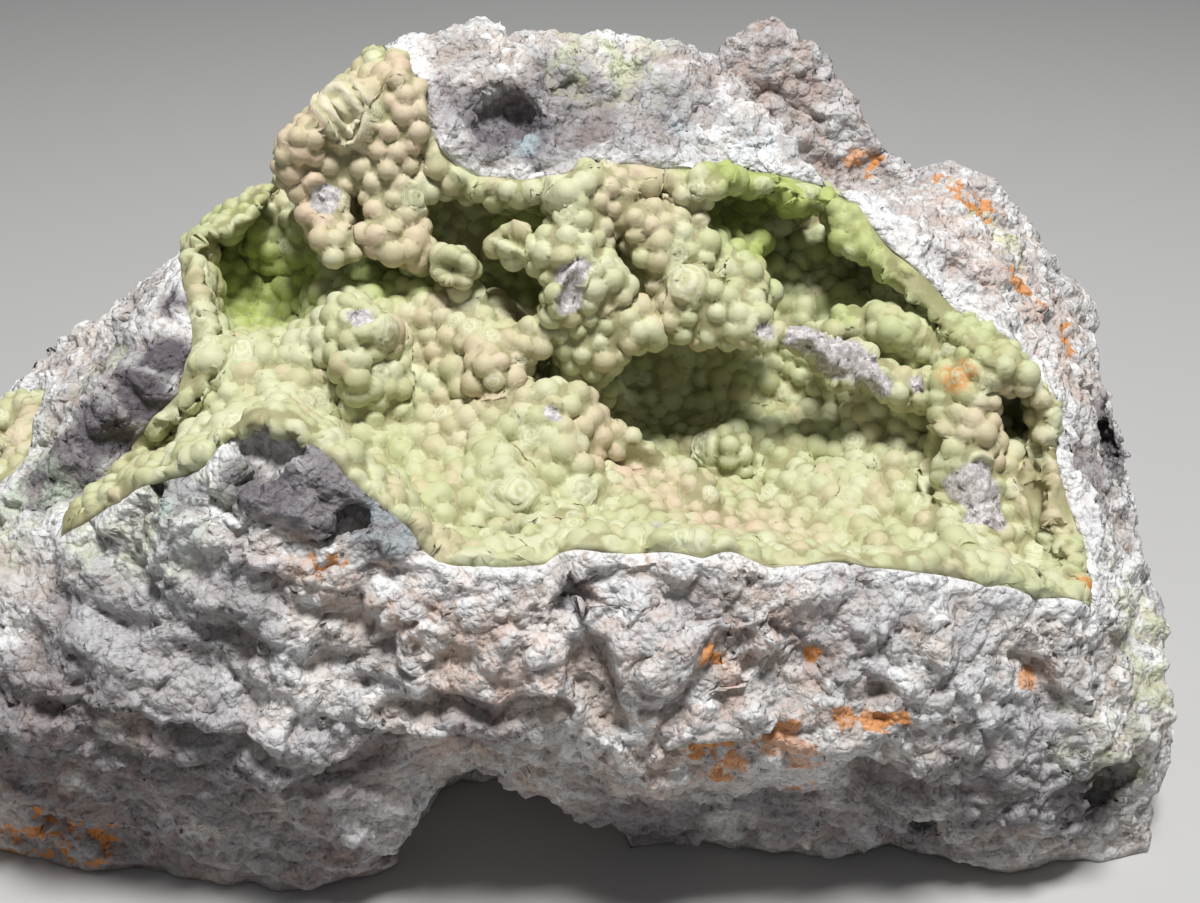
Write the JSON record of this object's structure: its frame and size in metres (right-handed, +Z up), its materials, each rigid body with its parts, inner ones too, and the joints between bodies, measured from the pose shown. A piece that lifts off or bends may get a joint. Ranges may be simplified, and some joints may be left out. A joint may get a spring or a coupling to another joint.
{
  "type": "wavellite specimen",
  "caption": "Broken pale rock with an open hollow lined by a lumpy yellow-green mineral crust, resting on a flat underside.",
  "frame": {"origin": "on the flat underside, below the middle of the hollow", "axes": "+X to the right as one looks into the hollow, -Y towards the viewer, +Z up"},
  "size_m": [0.1861, 0.1072, 0.0981],
  "materials": {
    "rock": "rough, broken",
    "wavellite": "dull waxy lumps"
  },
  "bodies": {
    "root": {"matrix_rock": "rock", "wavellite_crust": "wavellite", "side_crust": "wavellite"}
  },
  "joints": []
}
